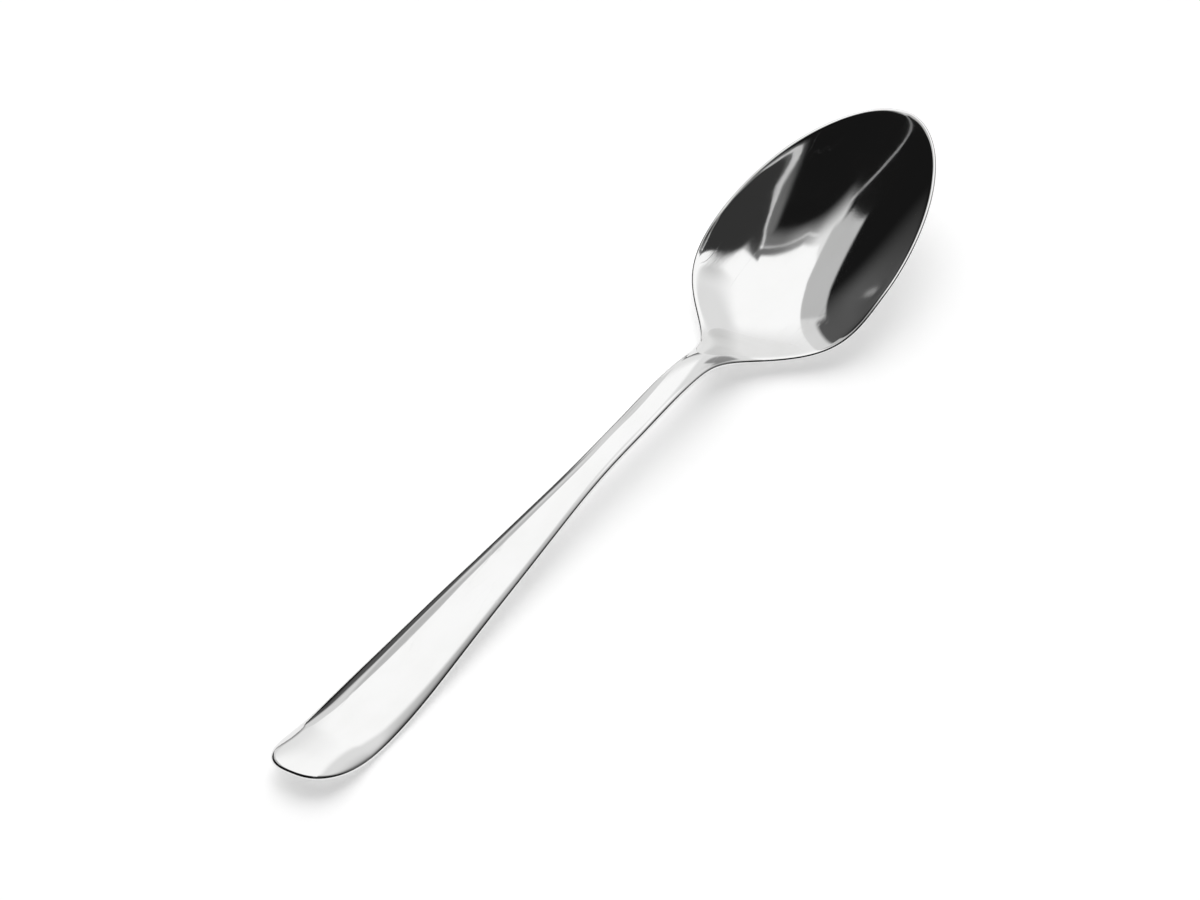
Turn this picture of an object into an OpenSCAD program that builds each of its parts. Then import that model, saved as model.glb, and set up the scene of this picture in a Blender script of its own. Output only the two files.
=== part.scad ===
// Soup spoon, pressed and polished from one blank of stainless steel.
// Lies face up on a table: +X towards the tip of the bowl, +Z up, in millimetres.
// The origin is on the table, under the middle of the spoon.

/* [Overall] */
// Length from the end of the handle to the tip of the bowl
overall_l = 200; // [180:1:220]
// Thickness of the rounded edge along the handle and the neck
edge_t = 1.4; // [1:0.1:1.8]

/* [Bowl] */
// Width of the bowl at its widest place
bowl_w = 40; // [36:0.2:44]
// Distance from the widest place to the tip
bowl_front_l = 37; // [33:0.5:41]
// How far the bowl is pressed in below its rim at the widest place
bowl_depth = 8.4; // [7:0.1:10]
// Share by which the wall leans out more at the rim than an even hollow would
wall_lean = 0.15; // [0:0.01:0.2]
// Thickness of the steel in the middle of the bowl
bowl_wall = 1.3; // [1:0.1:1.6]
// Thickness of the rounded edge along the rim
rim_t = 0.9; // [0.7:0.1:1.3]
// Fullness of the front of the rim: 2 is an ellipse, less is more pointed
tip_fullness = 1.85; // [1.7:0.05:2.2]
// Height of the rim's edge at the shoulders
shoulder_h = 3.6; // [2.8:0.1:4.6]
// Height of the rim's edge at the widest place
rim_middle_h = 10.6; // [9.6:0.1:12]
// Height of the rim's edge half way from there to the tip
rim_front_h = 15.9; // [14.6:0.1:17.2]
// Height of the rim's edge at the tip
rim_tip_h = 20.2; // [18.6:0.1:21.8]
// Depth of the spot under the bowl that is worn flat on the table
rest_wear = 0.12; // [0.1:0.01:0.2]

/* [Neck] */
// Width of the neck
neck_w = 6.4; // [5.6:0.1:8]
// Length of the straight neck, from the end of the taper to the start of the shoulders
neck_l = 19.5; // [15:0.5:24]
// Length of the shoulders, from the straight neck to the widest place of the bowl
shoulder_l = 40.5; // [36:0.5:46]
// Fullness of the shoulders: 2 is an even sweep, more is squarer
shoulder_fullness = 2.5; // [2:0.1:3.2]
// Thickness of the steel in the middle of the neck
neck_t = 3.2; // [2.6:0.1:3.8]
// Height of the edge where the taper ends
neck_back_h = 8.3; // [7.3:0.1:9.3]
// Height of the edge where the shoulders start
neck_front_h = 8.5; // [7.5:0.1:9.5]

/* [Handle] */
// Width of the handle near its end
handle_w = 16; // [14:0.2:19]
// Length of the rounded end of the handle
end_l = 14; // [11:0.5:18]
// Fullness of the rounded end: 2 is an ellipse, more is squarer
end_fullness = 2.8; // [2.2:0.1:3.4]
// Slant of the end, in degrees
end_slant = 9.5; // [0:0.5:12]
// Thickness of the steel in the middle of the handle
handle_t = 2.2; // [1.8:0.1:2.8]
// Rise of the handle's middle over its edges, where the handle is widest
handle_crown = 1.15; // [0.6:0.05:1.4]
// Fullness of that crown: 2 is an even arch, more is flatter with rounder sides
crown_fullness = 3; // [2:0.1:4]
// Height of the edge at the very end, which turns up
end_h = 5.4; // [2:0.1:6.4]
// Height of the edge half way along the taper
handle_middle_h = 4.3; // [3.3:0.1:5.3]

/* [Hidden] */

// Distances from the ends of the outline's curves to the places that matter
rest_in = 4;
crest_in = 3;
bowl_in = 11;
heel_in = 12;
low_share = 0.45;
belly_in = 8;

// Places along the spoon, measured from the end of the handle
mid_edge = edge_t / 2;
mid_rim = rim_t / 2;
end_x = end_l;
rest_x = end_x + rest_in;
wide_x = overall_l - bowl_front_l;
flare_x = wide_x - shoulder_l;
taper_x = flare_x - neck_l;
tip_x = overall_l - mid_rim;
crest_x = flare_x + crest_in;
shoulder_x = flare_x + low_share * shoulder_l;
bowl_x = flare_x + bowl_in;
heel_x = flare_x + heel_in;

// Half widths to the middle of the rounded edge
half_end = handle_w / 2 - mid_edge;
half_neck = neck_w / 2 - mid_edge;
half_bowl = bowl_w / 2 - mid_rim;

// Lengths over which one form runs into the next
taper_ease = 24;
crest_l = 14;
wall_l = 22;
slant_l = 45;
turn_l = 12;

// Fineness of the surfaces
across = 18;
edge_steps = 3;
slope_step = 0.2;
belly_step = 0.5;
end_rows = 10;
taper_rows = 24;
neck_rows = 14;
shoulder_rows = 18;
tip_rows = 16;

function ease(u) = let (v = min(1, max(0, u))) v * v * (3 - 2 * v);
function flare(u, fullness) =
    let (v = min(1, max(0, u)), done = pow(v, fullness), left = pow(1 - v, fullness)) done / (done + left);
function ramp(x, a, b) =
    let (v = min(1, max(0, (x - a) / (b - a))))
    x > b ? x - (a + b) / 2 : (b - a) * (pow(v, 3) - pow(v, 4) / 2);

// Quarter of a rounded end: width left at a share u of the way to its end
function round_end(u, fullness) = pow(1 - pow(min(1, max(0, u)), fullness), 1 / fullness);

// Half width of the outline without its rounded ends, and with them
taper_run = taper_x - end_x - taper_ease;
function full_half(x) =
    let (narrowed = ramp(x, end_x, end_x + taper_ease) - ramp(x, taper_x - taper_ease, taper_x))
    half_end - (half_end - half_neck) * narrowed / taper_run
        + (half_bowl - half_neck) * flare((x - flare_x) / shoulder_l, shoulder_fullness);
function half_width(x) =
    x < end_x ? half_end * round_end((end_x - x) / (end_x - mid_edge), end_fullness)
    : x > wide_x ? half_bowl * round_end((x - wide_x) / (tip_x - wide_x), tip_fullness)
    : full_half(x);

// Side profile: a smooth curve through the heights of the edge
profile = [
    [0, end_h],
    [rest_x, mid_edge],
    [(end_x + taper_x) / 2, handle_middle_h],
    [taper_x, neck_back_h],
    [crest_x, neck_front_h],
    [shoulder_x, shoulder_h],
    [wide_x, rim_middle_h],
    [(wide_x + overall_l) / 2, rim_front_h],
    [overall_l, rim_tip_h]
];
last = len(profile) - 1;
function step_x(i) = profile[i + 1].x - profile[i].x;
function step_slope(i) = (profile[i + 1].y - profile[i].y) / step_x(i);
function inner_slope(i) =
    profile[i].x == rest_x ? 0
    : (step_slope(i - 1) * step_x(i) + step_slope(i) * step_x(i - 1)) / (step_x(i) + step_x(i - 1));
function knot_slope(i) =
    i == 0 ? 1.5 * step_slope(0) - 0.5 * inner_slope(1)
    : i == last ? 1.5 * step_slope(last - 1) - 0.5 * inner_slope(last - 1)
    : inner_slope(i);
slopes = [for (i = [0 : last]) knot_slope(i)];
function span_at(x, i = 0) = i == last - 1 || x < profile[i + 1].x ? i : span_at(x, i + 1);
function drawn_height(x) =
    let (i = span_at(x), l = step_x(i), u = (x - profile[i].x) / l)
    (1 + 2 * u) * pow(1 - u, 2) * profile[i].y
        + u * pow(1 - u, 2) * l * slopes[i]
        + u * u * (3 - 2 * u) * profile[i + 1].y
        + u * u * (u - 1) * l * slopes[i + 1];

// Share of the crown or of the pressing at a place: 1 in the middle, 0 at the edge
function share(x, y, fullness = 2) =
    (pow(half_width(x), fullness) - pow(abs(y), fullness)) / pow(full_half(x), fullness);

// Rolled out thin into the bowl, and thicker than the handle at the neck, on its underside
function thinned(x) = ease((x - crest_x) / wall_l);
function neck_gain(x) = (neck_t - handle_t) * ease((x - rest_x) / (flare_x - rest_x));
function middle_t(x) =
    let (bar = handle_t + neck_gain(x)) bar + (bowl_wall - bar) * thinned(x);
function edge_at(x) = edge_t + (rim_t - edge_t) * thinned(x);
function thickness(x, y) = edge_at(x) + (middle_t(x) - edge_at(x)) * max(0, share(x, y));

// Crown of the handle, which keeps its roundness as the handle narrows, and hollow of the bowl
function crown_at(x) =
    handle_crown * pow(full_half(x) / half_end, 2) * (1 - ease((x - crest_x) / crest_l));
function press_at(x) =
    bowl_depth * ease((x - heel_x) / (wide_x - heel_x)) + neck_gain(x) * (1 - thinned(x)) / 2;

// The spoon tips on the end of its handle until the bowl's worn spot is on the table
function drawn_under(x) = drawn_height(x) - press_at(x) + crown_at(x) - middle_t(x) / 2;
under = [for (x = [shoulder_x - belly_in : belly_step : wide_x]) [drawn_under(x), x]];
lowest = min([for (p = under) p[0]]);
lowest_x = [for (p = under) if (p[0] == lowest) p[1]][0];
tip_up = (-rest_wear - lowest) / (lowest_x - rest_x);
function edge_height(x) = drawn_height(x) + tip_up * (x - rest_x);

// Middle surface of the steel, and the direction of its thickness
function middle_z(x, y) =
    edge_height(x) + crown_at(x) * share(x, y, crown_fullness)
        - press_at(x) * share(x, y) * (1 - wall_lean * pow(y / full_half(x), 2));
function slope_along(x, y) =
    let (a = max(mid_edge, x - slope_step), b = min(tip_x, x + slope_step))
    (middle_z(b, y) - middle_z(a, y)) / (b - a);
function slope_across(x, y) =
    (middle_z(x, y + slope_step) - middle_z(x, y - slope_step)) / (2 * slope_step);
function turn(x) = ease((x - bowl_x) / turn_l);
function unit(v) = v / norm(v);
function up(x, y) = unit([-turn(x) * slope_along(x, y), -slope_across(x, y), 1]);

// Flat blank: s runs 0 to 1 round the handle's end, 1 to 2 along the middle, 2 to 3 round
// the front of the bowl, and b runs from -1 to 1 across. The ends are squares bent round.
function bent(a, b, fullness) =
    let (p = [a * sqrt(1 - b * b / 2), b * sqrt(1 - a * a / 2)])
    let (reach = pow(pow(abs(p.x), fullness) + pow(abs(p.y), fullness), 1 / fullness))
    reach == 0 ? p : p * norm(p) / reach;
function blank(s, b) =
    s < 1 ? let (p = bent(1 - s, b, end_fullness))
        [end_x - (end_x - mid_edge) * p.x, half_end * p.y]
    : s > 2 ? let (p = bent(s - 2, b, tip_fullness))
        [wide_x + (tip_x - wide_x) * p.x, half_bowl * p.y]
    : let (x = end_x + (wide_x - end_x) * (s - 1)) [x, full_half(x) * b];
function along(x) = 1 + (x - end_x) / (wide_x - end_x);
function slanted(p) = p.x - tan(end_slant) * p.y * (1 - ease(p.x / slant_l));

// Direction straight out of the outline, kept square to the spoon at the cuts between pieces
function quarter_turn(v) = [v.y, -v.x];
function out_of_side(s, b) =
    let (ds = 0.004, t = blank(min(3, s + ds), b) - blank(max(0, s - ds), b))
    let (n = quarter_turn(t) * -b, x = blank(s, b).x)
    unit([n.x * max(1 - ease((x - end_x) / slant_l), turn(x)), n.y, 0]);
function out_of_end(s, b) =
    let (db = 0.01, t = blank(s, b + db) - blank(s, b - db), n = quarter_turn(t))
    unit([n.x, n.y, 0]) * (s > 1 ? 1 : -1);
function out_of(s, b, free) =
    abs(b) == 1 ? out_of_side(s, b) : free ? out_of_end(s, b) : [0, 0, 0];

// Point of the skin: layer 0 is the top face, the last layer is the underside, and the
// layers between them go round the edge
layers = edge_steps + 1;
function skin(s, b, layer, free) =
    let (p = blank(s, b), a = 180 * layer / layers)
    let (m = [slanted(p) - overall_l / 2, p.y, middle_z(p.x, p.y)])
    let (n = up(p.x, p.y), o = out_of(s, b, free), q = o - (o * n) * n)
    m + thickness(p.x, p.y) / 2 * (cos(a) * n + sin(a) * (norm(q) == 0 ? q : unit(q)));

function even(from, to, count) = [for (i = [0 : count]) from + (to - from) * i / count];
function beyond(from, to, count) = [for (s = even(from, to, count)) if (s > from) s];
function strip(a, b, c, d) = [[a, b, c], [a, c, d]];

// One piece of the spoon between two places along it, closed all round
module piece(rows, free_start, free_end) {
    end_row = len(rows) - 1;
    sides = even(-1, 1, across);
    points = [
        for (i = [0 : end_row], b = sides, k = [0 : layers])
            skin(rows[i], b, k, i == 0 ? free_start : i == end_row ? free_end : false)
    ];
    function at(i, j, k) = (i * (across + 1) + j) * (layers + 1) + k;
    faces = [
        for (i = [0 : end_row - 1], j = [0 : across - 1]) each concat(
            strip(at(i, j, 0), at(i, j + 1, 0), at(i + 1, j + 1, 0), at(i + 1, j, 0)),
            strip(at(i, j, layers), at(i + 1, j, layers), at(i + 1, j + 1, layers), at(i, j + 1, layers))
        ),
        for (i = [0 : end_row - 1], k = [0 : layers - 1]) each concat(
            strip(at(i, 0, k), at(i + 1, 0, k), at(i + 1, 0, k + 1), at(i, 0, k + 1)),
            strip(at(i, across, k), at(i, across, k + 1), at(i + 1, across, k + 1), at(i + 1, across, k))
        ),
        for (j = [0 : across - 1], k = [0 : layers - 1]) each concat(
            strip(at(0, j, k), at(0, j, k + 1), at(0, j + 1, k + 1), at(0, j + 1, k)),
            strip(at(end_row, j, k), at(end_row, j + 1, k),
                at(end_row, j + 1, k + 1), at(end_row, j, k + 1))
        )
    ];
    polyhedron(points = points, faces = faces, convexity = 6);
}

module handle() {
    color("silver")
        piece(concat(even(0, 1, end_rows), beyond(1, along(taper_x), taper_rows)), true, false);
}

module neck() {
    color("gainsboro")
        piece(even(along(taper_x), along(bowl_x), neck_rows), false, false);
}

module bowl() {
    table_l = overall_l;
    color("lightgray")
        difference() {
            piece(concat(even(along(bowl_x), 2, shoulder_rows), beyond(2, 3, tip_rows)), false, true);
            translate([0, -bowl_w, -table_l])
                cube([table_l, 2 * bowl_w, table_l]);
        }
}

handle();
neck();
bowl();
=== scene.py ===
# %% [markdown]
# # Soup spoon
# A spoon of this kind is one piece of stainless steel: a flat blank is cut out, rolled thin where the
# bowl will be, pressed to shape, and polished until it works as a mirror. There is no paint and no
# joint, so nearly everything that the eye sees on it is a reflection. Two things therefore decide how
# it looks: a surface without bumps, and a studio that is worth reflecting. This lesson makes both.

# %% Load the frame
import math

import bmesh
import bpy
from mathutils import Matrix, Vector


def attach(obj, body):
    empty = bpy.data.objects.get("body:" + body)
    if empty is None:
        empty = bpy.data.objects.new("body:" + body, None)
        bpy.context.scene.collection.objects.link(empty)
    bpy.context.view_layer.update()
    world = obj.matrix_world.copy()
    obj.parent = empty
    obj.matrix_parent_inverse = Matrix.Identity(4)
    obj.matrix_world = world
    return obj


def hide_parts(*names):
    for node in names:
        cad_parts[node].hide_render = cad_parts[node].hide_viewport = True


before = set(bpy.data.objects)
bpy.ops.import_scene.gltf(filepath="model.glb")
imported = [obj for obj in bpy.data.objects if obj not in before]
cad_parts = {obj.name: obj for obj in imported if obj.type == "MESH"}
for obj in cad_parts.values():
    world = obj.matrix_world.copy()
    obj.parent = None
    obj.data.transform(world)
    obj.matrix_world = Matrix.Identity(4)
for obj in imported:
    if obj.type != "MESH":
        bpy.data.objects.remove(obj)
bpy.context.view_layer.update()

# %% [markdown]
# ## The outline of the blank
# Seen from above, the blank is a rounded end, a long taper, a straight neck, two shoulders and half of
# an oval. It could be traced as a curve, but a few formulas say the same and keep it smooth: an eased
# step for every change of width, and a superellipse for each rounded end. Lengths here are in
# millimetres, measured from the end of the handle, and the widths go to the middle of the edge.

# %% Outline
length, edge, rim = 200.0, 1.4, 0.9
edge_r, rim_r = edge / 2, rim / 2
handle_half, neck_half, bowl_half = 8.0 - edge_r, 3.2 - edge_r, 20.0 - rim_r
end_x, taper_x, flare_x, wide_x, tip_x = 14.0, 103.0, 122.5, 163.0, length - rim_r
end_fullness, shoulder_fullness, tip_fullness = 2.8, 2.5, 1.85
taper_ease = 24.0


def part_of(u):
    return min(1.0, max(0.0, u))


def ease(u):
    u = part_of(u)
    return u * u * (3 - 2 * u)


def swell(u):
    u = part_of(u)
    done, left = u**shoulder_fullness, (1 - u) ** shoulder_fullness
    return done / (done + left)


def gather(x, a, b):
    """Starts at nothing in a, and grows evenly from b on."""
    u = part_of((x - a) / (b - a))
    return x - (a + b) / 2 if x > b else (b - a) * (u**3 - u**4 / 2)


def round_end(u, fullness):
    return (1 - part_of(u) ** fullness) ** (1 / fullness)


def full_half(x):
    narrowed = gather(x, end_x, end_x + taper_ease) - gather(x, taper_x - taper_ease, taper_x)
    taper = (handle_half - neck_half) * narrowed / (taper_x - end_x - taper_ease)
    return handle_half - taper + (bowl_half - neck_half) * swell((x - flare_x) / (wide_x - flare_x))


def half_width(x):
    if x < end_x:
        return handle_half * round_end((end_x - x) / (end_x - edge_r), end_fullness)
    if x > wide_x:
        return bowl_half * round_end((x - wide_x) / (tip_x - wide_x), tip_fullness)
    return full_half(x)


print("Half widths:", {x: round(half_width(x) + edge_r, 2) for x in (14, 60, 110, 150, 163, 190)})

# %% [markdown]
# ## The side profile
# Seen from the side, the handle's end turns up, the handle climbs to a crest at the neck, drops into
# the shoulders, and the rim rises to the tip. One smooth curve through a few heights of the edge gives
# all of that. The spoon lies on the end of its handle and on the belly of its bowl, so the curve is
# tipped a little until the belly just touches the table.

# %% Side profile
rest_x, crest_x, heel_x = end_x + 4, flare_x + 3, flare_x + 12
shoulder_x = flare_x + 0.45 * (wide_x - flare_x)
bowl_depth, bowl_wall, neck_t, handle_t, crown = 8.4, 1.3, 3.2, 2.2, 1.15
crown_fade, thinning = 14.0, 22.0
knots = [
    (0.0, 5.4),
    (rest_x, edge_r),
    ((end_x + taper_x) / 2, 4.3),
    (taper_x, 8.3),
    (crest_x, 8.5),
    (shoulder_x, 3.6),
    (wide_x, 10.6),
    ((wide_x + length) / 2, 15.9),
    (length, 20.2),
]
spans = [b[0] - a[0] for a, b in zip(knots, knots[1:])]
climbs = [(b[1] - a[1]) / span for a, b, span in zip(knots, knots[1:], spans)]
slopes = [
    (climbs[i - 1] * spans[i] + climbs[i] * spans[i - 1]) / (spans[i] + spans[i - 1])
    for i in range(1, len(spans))
]
slopes[0] = 0.0
slopes = [1.5 * climbs[0] - 0.5 * slopes[0], *slopes, 1.5 * climbs[-1] - 0.5 * slopes[-1]]


def drawn_height(x):
    i = max(k for k in range(len(spans)) if k == 0 or x >= knots[k][0])
    u, span = (x - knots[i][0]) / spans[i], spans[i]
    return (
        (1 + 2 * u) * (1 - u) ** 2 * knots[i][1]
        + u * (1 - u) ** 2 * span * slopes[i]
        + u * u * (3 - 2 * u) * knots[i + 1][1]
        + u * u * (u - 1) * span * slopes[i + 1]
    )


def crown_at(x):
    return crown * (full_half(x) / handle_half) ** 2 * (1 - ease((x - crest_x) / crown_fade))


def thinned(x):
    return ease((x - crest_x) / thinning)


def neck_gain(x):
    return (neck_t - handle_t) * ease((x - rest_x) / (flare_x - rest_x))


def press_at(x):
    hollow = bowl_depth * ease((x - heel_x) / (wide_x - heel_x))
    return hollow + neck_gain(x) * (1 - thinned(x)) / 2


def middle_t(x):
    bar = handle_t + neck_gain(x)
    return bar + (bowl_wall - bar) * thinned(x)


def edge_t(x):
    return edge + (rim - edge) * thinned(x)


worn = 0.12
under_bowl = [shoulder_x - 8 + 0.5 * i for i in range(61)]
belly, belly_x = min(
    (drawn_height(x) - press_at(x) + crown_at(x) - middle_t(x) / 2, x) for x in under_bowl
)
tip_up = (-worn - belly) / (belly_x - rest_x)


def edge_height(x):
    return drawn_height(x) + tip_up * (x - rest_x)


print(f"The belly touches the table {belly_x:.1f} mm from the handle's end")

# %% [markdown]
# ## From sheet to skin
# Every place on the sheet has a share of the crown or of the pressing: all of it in the middle, none at
# the edge. With the thickness set off along the sheet's normal, and half a circle carried round the
# edge, the sheet becomes a closed skin. A place is named by how far it is along, across and through
# the steel, so that one function can put every vertex of the mesh where it belongs. The bowl's wall
# leans out towards the rim, since an even hollow would mirror itself in a spot on its right side.

# %% Skin
slant, slant_fade = math.tan(math.radians(9.5)), 45.0
wall_lean, crown_fullness = 0.18, 3


def share(x, y, fullness=2):
    return (half_width(x) ** fullness - abs(y) ** fullness) / full_half(x) ** fullness


def sheet(x, y):
    hollow = share(x, y) * (1 - wall_lean * (y / full_half(x)) ** 2)
    return edge_height(x) + crown_at(x) * share(x, y, crown_fullness) - press_at(x) * hollow


def bent(a, b, fullness):
    """A square corner to corner, bent round into half of an oval."""
    p = Vector((a * math.sqrt(1 - b * b / 2), b * math.sqrt(1 - a * a / 2)))
    reach = (abs(p.x) ** fullness + abs(p.y) ** fullness) ** (1 / fullness)
    return p * p.length / reach if reach else p


def blank(s, b):
    """s is 0 to 1 round the handle's end, 1 to 2 along the middle and 2 to 3 round the bowl's front."""
    if s < 1:
        p = bent(1 - s, b, end_fullness)
        return Vector((end_x - (end_x - edge_r) * p.x, handle_half * p.y))
    if s > 2:
        p = bent(s - 2, b, tip_fullness)
        return Vector((wide_x + (tip_x - wide_x) * p.x, bowl_half * p.y))
    x = end_x + (wide_x - end_x) * (s - 1)
    return Vector((x, full_half(x) * b))


def sheet_normal(x, y, step=0.2):
    a, c = max(edge_r, x - step), min(tip_x, x + step)
    along = (sheet(c, y) - sheet(a, y)) / (c - a)
    across = (sheet(x, y + step) - sheet(x, y - step)) / (2 * step)
    return Vector((-along, -across, 1)).normalized()


def outwards(s, b):
    """Straight out of the outline, for a place on the edge, and nothing anywhere else."""
    out = Vector((0, 0))
    if abs(b) > 0.999:
        t = blank(min(3, s + 0.004), b) - blank(max(0, s - 0.004), b)
        out += Vector((t.y, -t.x)).normalized() * -b
    if s < 0.001 or s > 2.999:
        t = blank(s, min(1, b + 0.01)) - blank(s, max(-1, b - 0.01))
        out += Vector((t.y, -t.x)).normalized() * (1 if s > 1 else -1)
    return out.to_3d()


def skin(s, b, through):
    """through is 0 on the top face and 1 on the underside; between them it goes round the edge."""
    p = blank(s, b)
    n, out = sheet_normal(p.x, p.y), outwards(s, b)
    out = (out - out.dot(n) * n).normalized()
    t = edge_t(p.x) + (middle_t(p.x) - edge_t(p.x)) * max(0, share(p.x, p.y))
    angle = math.pi * through
    turned = p.x - slant * p.y * (1 - ease(p.x / slant_fade))
    place = Vector((turned - length / 2, p.y, sheet(p.x, p.y)))
    place += t / 2 * (math.cos(angle) * n + math.sin(angle) * out)
    place.z = max(0, place.z)
    return place / 1000


print("Top of the crest, in mm:", round(1000 * skin(1 + (crest_x - end_x) / (wide_x - end_x), 0, 0).z, 2))

# %% [markdown]
# ## Making the mesh
# The mesh follows the maker's steps. A flat grid is the sheet, extruding it gives the second face, and
# cutting the wall between the faces makes room for the round of the edge. Each vertex carries its place
# along, across and through the steel as numbers of its own, which the operators pass on to the new
# vertices, and the skin then takes every vertex to its place. A Subdivision Surface smooths the rest,
# because a mirror shows the smallest kink between two faces.

# %% Spoon mesh
def even(a, b, count):
    return [a + (b - a) * i / count for i in range(1, count + 1)]


def along_of(x):
    return 1 + (x - end_x) / (wide_x - end_x)


neck_row, bowl_row = along_of(taper_x), along_of(133.5)
rows = [0.0, *even(0, 1, 10), *even(1, neck_row, 24), *even(neck_row, bowl_row, 14)]
rows += [*even(bowl_row, 2, 18), *even(2, 3, 16)]
columns = 18

bm = bmesh.new()
bmesh.ops.create_grid(bm, x_segments=len(rows) - 1, y_segments=columns, size=1)
along = bm.verts.layers.float.new("along")
across = bm.verts.layers.float.new("across")
through = bm.verts.layers.float.new("through")
for vert in bm.verts:
    vert[along] = rows[round((vert.co.x + 1) / 2 * (len(rows) - 1))]
    vert[across] = vert.co.y
top = bm.faces[:]
made = bmesh.ops.extrude_face_region(bm, geom=top, use_keep_orig=True)["geom"]
for item in made:
    if isinstance(item, bmesh.types.BMVert):
        item[through] = 1.0
between = [e for e in bm.edges if e.verts[0][through] != e.verts[1][through]]
bmesh.ops.subdivide_edges(bm, edges=between, cuts=3, use_grid_fill=True)
for vert in bm.verts:
    vert.co = skin(vert[along], vert[across], vert[through])
bmesh.ops.recalc_face_normals(bm, faces=bm.faces)
for face in bm.faces:
    face.smooth = True
spoon_mesh = bpy.data.meshes.new("spoon")
bm.to_mesh(spoon_mesh)
print(f"Spoon cage: {len(bm.verts)} vertices, {len(bm.faces)} faces, closed: "
      f"{all(e.is_manifold for e in bm.edges)}, volume {bm.calc_volume() * 1e9:.0f} mm3")
bm.free()

spoon = bpy.data.objects.new("spoon", spoon_mesh)
bpy.context.scene.collection.objects.link(spoon)
smooth = spoon.modifiers.new("smooth", "SUBSURF")
smooth.levels = smooth.render_levels = 2
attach(spoon, "root")
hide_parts("handle", "neck", "bowl")

# %% [markdown]
# ## Sums in shader nodes
# Shader maths is easier to read as a sum than as a row of boxes. This small class stands for one output
# of a node: adding or multiplying two of them adds the Math node that does it, and its one method makes
# any other node from a type, its settings and what goes into its sockets.

# %% Node sums
class Wire:
    def __init__(self, tree, socket=None):
        self.tree, self.socket = tree, socket

    def node(self, kind, settings=(), inputs=(), output=0):
        made = self.tree.nodes.new("ShaderNode" + kind)
        for name, value in dict(settings).items():
            setattr(made, name, value)
        for name, value in dict(inputs).items():
            if isinstance(value, Wire):
                self.tree.links.new(value.socket, made.inputs[name])
            else:
                made.inputs[name].default_value = value
        return Wire(self.tree, made.outputs[output])

    def math(self, operation, a, b=0.0):
        return self.node("Math", {"operation": operation}, {0: a, 1: b})

    def soft(self, a, b):
        """0 up to a, 1 from b on, and a soft step between them; b may be the smaller one."""
        step = {"interpolation_type": "SMOOTHSTEP"}
        return self.node("MapRange", step, {"Value": self, "From Min": a, "From Max": b})

    def size(self):
        return self.math("ABSOLUTE", self)

    def or_more(self, least):
        return self.math("MAXIMUM", self, least)

    def towards(self, other, share):
        return self + (other - self) * share

    def __add__(self, other):
        return self.math("ADD", self, other)

    def __sub__(self, other):
        return self.math("SUBTRACT", self, other)

    def __rsub__(self, other):
        return self.math("SUBTRACT", other, self)

    def __mul__(self, other):
        return self.math("MULTIPLY", self, other)

    def __truediv__(self, other):
        return self.math("DIVIDE", self, other)

    __radd__, __rmul__ = __add__, __mul__


# %% [markdown]
# ## Polished steel
# The steel is a mirror with a history. Polishing wheels leave very fine lines along the spoon, the
# pressing leaves long, shallow waves, and washing and stacking add a few hairlines and dull smears.
# None of these has a colour of its own: they bend or blur the mirror image a little, so they go into
# the bump and the roughness, and the colour changes by only a few hundredths.

# %% Steel
steel = bpy.data.materials.new("polished_steel")
steel.use_nodes = True
shader = steel.node_tree.nodes["Principled BSDF"]
shader.inputs["Metallic"].default_value = 1.0
place = Wire(steel.node_tree).node("TexCoord", output="Object")


def grain(lumps, stretch=(1, 1, 1), detail=2.0):
    """Noise with so many lumps to the metre, drawn out along the axes with small numbers."""
    drawn = place.node("VectorMath", {"operation": "MULTIPLY"}, {0: place, 1: stretch})
    return place.node("TexNoise", inputs={"Vector": drawn, "Scale": lumps, "Detail": detail})


polish = grain(4000, (0.05, 1, 1))
waves = grain(80, detail=0.0)
smears = grain(150, (0.6, 1, 1), 4.0).soft(0.35, 0.7)
worn_here = grain(60).soft(0.5, 0.62)
hairlines = (grain(420, (0.1, 1, 0.3), 1.0) - 0.5).size().soft(0.01, 0.0) * worn_here
colour = place.node(
    "Mix",
    {"data_type": "RGBA"},
    {"Factor": smears, "A": (0.785, 0.785, 0.783, 1), "B": (0.765, 0.765, 0.76, 1)},
    output="Result",
)
height = waves + 0.03 * polish - 0.04 * hairlines
bump = place.node("Bump", inputs={"Height": height, "Distance": 0.00003, "Strength": 1.0})
for name, wire in {
    "Base Color": colour,
    "Roughness": 0.04 + 0.03 * smears + 0.15 * hairlines,
    "Normal": bump,
}.items():
    steel.node_tree.links.new(wire.socket, shader.inputs[name])
spoon_mesh.materials.append(steel)
print("Nodes in the steel:", len(steel.node_tree.nodes))

# %% [markdown]
# ## Camera
# The photograph looks down on the spoon at a little under half a right angle, from far enough away
# that the sides stay nearly parallel. Heading and height were found by laying the outline over it.

# %% Camera
elevation, heading, roll = (math.radians(a) for a in (46.99, 53.62, -0.48))
far = Vector((math.sin(heading), math.cos(heading), 0))
right = Vector((math.cos(heading), -math.sin(heading), 0))
forward = far * math.cos(elevation) - Vector((0, 0, math.sin(elevation)))
turn = Matrix((right, right.cross(forward), -forward)).transposed() @ Matrix.Rotation(-roll, 3, "Z")
camera_data = bpy.data.cameras.new("camera")
camera_data.lens, camera_data.sensor_width = 180, 36
camera = bpy.data.objects.new("camera", camera_data)
stand = turn @ Vector((-0.00259, 0.00466, 1.16169))
camera.matrix_world = Matrix.Translation(stand) @ turn.to_4x4()
bpy.context.scene.collection.objects.link(camera)
bpy.context.scene.camera = camera
bpy.context.scene.view_settings.view_transform = "Standard"
print(f"Camera {stand.length:.2f} m from the middle of the spoon, {1000 * stand.z:.0f} mm above the table")

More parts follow.
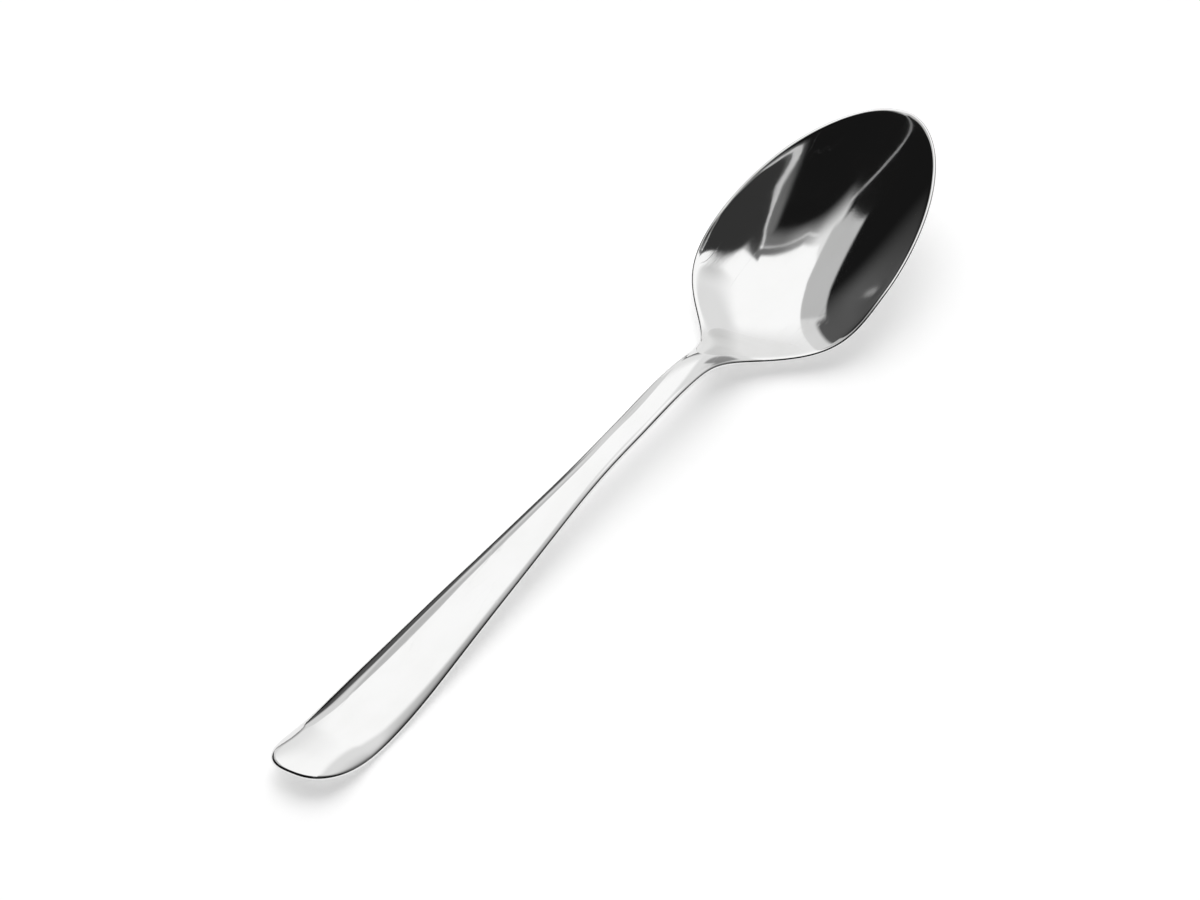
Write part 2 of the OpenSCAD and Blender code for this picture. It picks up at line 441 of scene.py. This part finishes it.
# %% [markdown]
# ## Floor
# The spoon lies on white paper. The light that falls on it is soft, so the shadow is narrow and stays
# close to the handle. The paper also glows a little, which takes its pale grey up to the white of the
# photograph's ground, and where the spoon keeps the light off, the shadow is left.

# %% Floor
bm = bmesh.new()
floor_half = 3.0
bmesh.ops.create_grid(bm, x_segments=1, y_segments=1, size=floor_half)
floor_mesh = bpy.data.meshes.new("floor")
bm.to_mesh(floor_mesh)
bm.free()
floor = bpy.data.objects.new("floor", floor_mesh)
bpy.context.scene.collection.objects.link(floor)
paper = bpy.data.materials.new("white_paper")
paper.use_nodes = True
for name, value in {
    "Base Color": (0.9, 0.9, 0.9, 1),
    "Roughness": 1.0,
    "Specular IOR Level": 0.0,
    "Emission Color": (1, 1, 1, 1),
    "Emission Strength": 0.38,
}.items():
    paper.node_tree.nodes["Principled BSDF"].inputs[name].default_value = value
floor_mesh.materials.append(paper)
print(f"Floor {2 * floor_half:.0f} m wide")

# %% [markdown]
# ## Key light
# The shadow in the photograph lies to the right of the handle and under its end, so most of the light on
# the paper comes from the upper left. A panel lamp would do, but it lights near places more than far
# ones; a very wide sun lamp lights all of the paper evenly. The steel doesn't mirror it: what the steel
# shows is the studio in the next step, softbox and all.

# %% Key light
key = bpy.data.lights.new("key_light", "SUN")
key.energy, key.angle = 1.1, math.radians(70)
lamp = bpy.data.objects.new("key_light", key)
to_light = Vector((0, 0, 1)) + 0.3 * far - 0.3 * right
lamp.matrix_world = to_light.to_track_quat("Z", "Y").to_matrix().to_4x4()
lamp.visible_glossy = False
bpy.context.scene.collection.objects.link(lamp)
tilt = to_light.angle(Vector((0, 0, 1)))
print(f"Key light {math.degrees(tilt):.0f} degrees away from straight above")

# %% [markdown]
# ## Studio
# What a mirror shows is the room, so the room is drawn as the spoon sees it: a map of the sky with the
# zenith in the middle and the horizon on the unit circle, u to the camera's right and v away from it.
# Straight edges in the room stay nearly straight on this map, so every sheet of the room is a product of
# soft steps over its edges. Lamps and panels as objects would do as well, but each would also have to be
# placed by trial, while an edge on the map is moved by one number. The levels are set for the steel,
# which gives back three quarters of the light: 1.2 shows as the white of the handle.

# %% Sky map
world = bpy.data.worlds.new("studio")
bpy.context.scene.world = world
world.use_nodes = True
ray = Wire(world.node_tree).node("TexCoord", output="Generated")


def along_axis(axis):
    dot = {"operation": "DOT_PRODUCT"}
    return ray.node("VectorMath", dot, {0: ray, 1: axis}, output="Value")


white, grey, dark_wall, black = 1.2, 0.6, 0.039, 0.0095
up = along_axis((0, 0, 1))
u, v = along_axis(right) / (1 + up), along_axis(far) / (1 + up)

# %% [markdown]
# ### Ceiling and grey strip
# Near the camera the room is dark. A dim ceiling begins overhead and gets brighter to the left, up to the
# line where the softbox hangs from it. To the left a grey strip of cloth hangs beside the softbox, cut
# off at a slant on top. Their edges are the edges of the grey shapes in the bowl.

# %% Ceiling and strip
crease = v + 0.185 * u + 0.051 - 0.45 * (-0.04 - u).or_more(0)
ceiling = 0.19 + 0.14 * u.soft(0.1, 0) + 0.62 * u.soft(0, -0.14)
out_of_dark = (v + 0.28 * u + 0.09).soft(-0.005, 0.035 + 0.05 * u.soft(0, -0.1))
corner = 0.9 * u.soft(0.135, 0.165) * v.soft(-0.3, -0.16)
strip_top = v + 1.18 * u + 0.227
lit = ceiling * out_of_dark.or_more(corner) * strip_top.soft(-0.02, 0.01) * u.soft(-0.23, -0.2)
strip = strip_top.soft(-0.008, 0.008) * u.soft(-0.17, -0.185) * (v + 0.4 * u).soft(-0.05, -0.03)
lit = lit.towards(grey + 0.22 * (v + 0.45 * u).soft(0.405, 0.445), strip)

# %% [markdown]
# ### Softbox and right wall
# The softbox is the only strong light: a white sheet over the far side of the table, paler at its far
# end. It makes the handle and the middle of the bowl white. The wall on its right is dark near the
# camera and pale far away, and where the two meet the sheet runs out into a point.

# %% Softbox and wall
point = (v + 0.98 * u).soft(0.1264, 0.1384) * u.soft(0.165, 0.18)
left_edge = (u - 0.03 * v.soft(0.13, 0.05)).soft(-0.185, -0.17)
softbox = left_edge * crease.soft(0.018, 0.034) * u.soft(0.18, 0.165) + point
lit = lit.towards(white - 0.25 * v.soft(0.5, 0.82), softbox)
blur = 0.005 + 0.03 * v.soft(-0.03, 0.1)
beside = ((u - 0.24 + 0.06 * v.or_more(0)) / blur).soft(-1, 1)
wall = (dark_wall + 0.86 * v.soft(-0.12, 0.18)) * (1 - 0.85 * u.soft(0.3, 0.65))
wall = wall * (1 - 0.6 * u.soft(0.29, 0.33) * v.soft(0.5, 0.56))
lit = lit.towards(wall, beside.or_more(u.soft(0.19, 0.2) * (1 - point)))
lit = lit * u.soft(-0.355, -0.335) * (1 - 0.9 * v.soft(0.56, 0.6) * u.soft(-0.26, -0.3))
lit = lit * (1 - 0.9 * v.soft(0.88, 1))

# %% [markdown]
# ### Thin lines
# Three thin lines cross the dark of the bowl: the rod along the softbox's near edge, the seam where the
# ceiling meets the right wall, and a pole on the left. The seam is wider towards the camera.

# %% Thin lines
rod = crease.size().soft(0.005, 0.002) * u.soft(-0.13, -0.08) * u.soft(0.195, 0.185)
seam_at = 0.195 - 0.025 * v.soft(-0.195, -0.22) - 0.013 * v.soft(-0.14, -0.09)
seam = (u - seam_at).size() - 0.006 * v.soft(-0.16, -0.2)
seam = seam.soft(0.007, 0.003) * v.soft(-0.235, -0.225) * v.soft(-0.075, -0.085)
pole = (v + 0.46 * u + 0.0845).size().soft(0.005, 0.002) * u.soft(-0.33, -0.32) * u.soft(-0.19, -0.21)
room = black + 0.1 * v.soft(0.42, 0.65) * v.soft(0.8, 0.68) * u.soft(-0.65, -0.45)
seen = lit.or_more(room) + 0.35 * rod + 0.55 * seam + 0.35 * pole

# %% [markdown]
# ### Backdrop
# The photograph has a plain white ground. Rays from the camera that miss spoon and floor see that white;
# all other rays see the studio.

# %% Backdrop
studio = world.node_tree.nodes["Background"]
world.node_tree.links.new(seen.socket, studio.inputs["Color"])
backdrop = ray.node("Background", inputs={"Color": (1, 1, 1, 1), "Strength": 1.0})
by_camera = ray.node("LightPath", output="Is Camera Ray")
mirrored = Wire(world.node_tree, studio.outputs[0])
mixed = ray.node("MixShader", inputs={0: by_camera, 1: mirrored, 2: backdrop})
world.node_tree.links.new(mixed.socket, world.node_tree.nodes["World Output"].inputs["Surface"])
print("Nodes in the studio:", len(world.node_tree.nodes))
